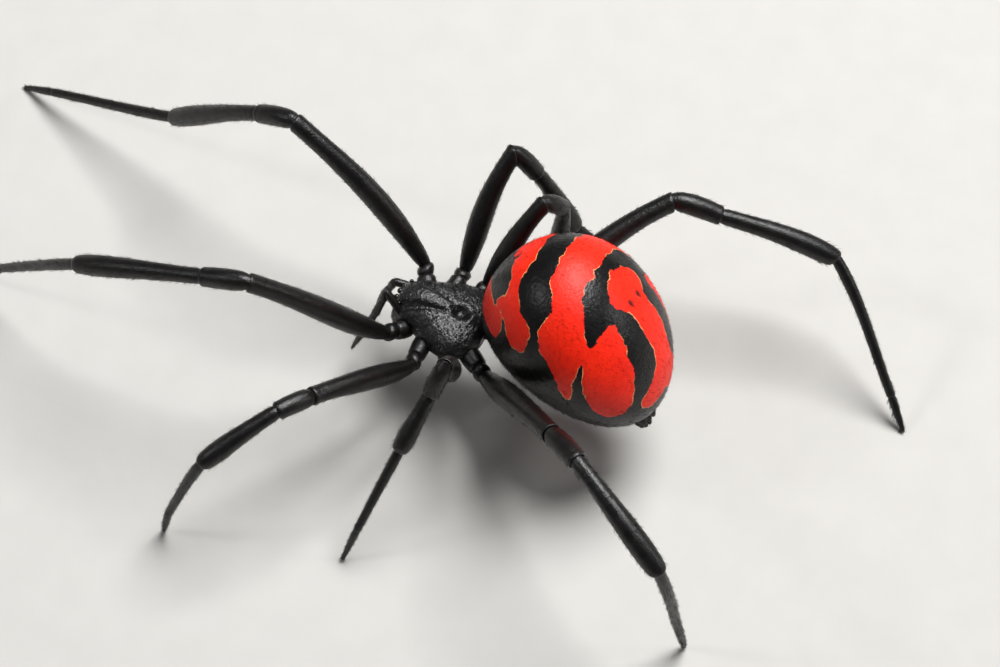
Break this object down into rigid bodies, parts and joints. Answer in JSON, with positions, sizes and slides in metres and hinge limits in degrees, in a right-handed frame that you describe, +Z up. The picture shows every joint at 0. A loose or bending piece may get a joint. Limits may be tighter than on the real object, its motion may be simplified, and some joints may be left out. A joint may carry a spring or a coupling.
{
  "type": "black widow spider model",
  "caption": "Life-size female widow spider with a round red and black banded abdomen, standing on its slender jointed legs.",
  "frame": {"origin": "middle of the footprint of the whole spider, on the floor under it", "axes": "+Z up, -Y the way the head points, +X the spider's left side"},
  "size_m": [0.0191, 0.0372, 0.0097],
  "materials": {
    "black_shell": "glossy black shell with fine grains",
    "black_leg": "satin black leg shell under short black hairs",
    "red_skin": "smooth satin red skin with black cross bands",
    "brown_skin": "dull dark brown skin",
    "eye_black": "polished black lens"
  },
  "bodies": {
    "root": {"prosoma": "black_shell", "abdomen": "red_skin", "pedicel": "black_shell", "spinnerets": "brown_skin", "chelicera_L": "black_shell", "palp_femur_L": "black_shell", "palp_tip_L": "black_shell", "eye_front_middle_L": "eye_black", "eye_front_side_L": "eye_black", "eye_rear_middle_L": "eye_black", "eye_rear_side_L": "eye_black", "chelicera_R": "black_shell", "palp_femur_R": "black_shell", "palp_tip_R": "black_shell", "eye_front_middle_R": "eye_black", "eye_front_side_R": "eye_black", "eye_rear_middle_R": "eye_black", "eye_rear_side_R": "eye_black", "coxa_L1": "black_leg", "femur_L1": "black_leg", "patella_L1": "black_leg", "tibia_L1": "black_leg", "metatarsus_L1": "black_leg", "coxa_L2": "black_leg", "femur_L2": "black_leg", "patella_L2": "black_leg", "tibia_L2": "black_leg", "metatarsus_L2": "black_leg", "coxa_L3": "black_leg", "femur_L3": "black_leg", "patella_L3": "black_leg", "tibia_L3": "black_leg", "metatarsus_L3": "black_leg", "coxa_L4": "black_leg", "femur_L4": "black_leg", "patella_L4": "black_leg", "tibia_L4": "black_leg", "metatarsus_L4": "black_leg", "coxa_R1": "black_leg", "femur_R1": "black_leg", "patella_R1": "black_leg", "tibia_R1": "black_leg", "metatarsus_R1": "black_leg", "coxa_R2": "black_leg", "femur_R2": "black_leg", "patella_R2": "black_leg", "tibia_R2": "black_leg", "metatarsus_R2": "black_leg", "coxa_R3": "black_leg", "femur_R3": "black_leg", "patella_R3": "black_leg", "tibia_R3": "black_leg", "metatarsus_R3": "black_leg", "coxa_R4": "black_leg", "femur_R4": "black_leg", "patella_R4": "black_leg", "tibia_R4": "black_leg", "metatarsus_R4": "black_leg"}
  },
  "joints": []
}
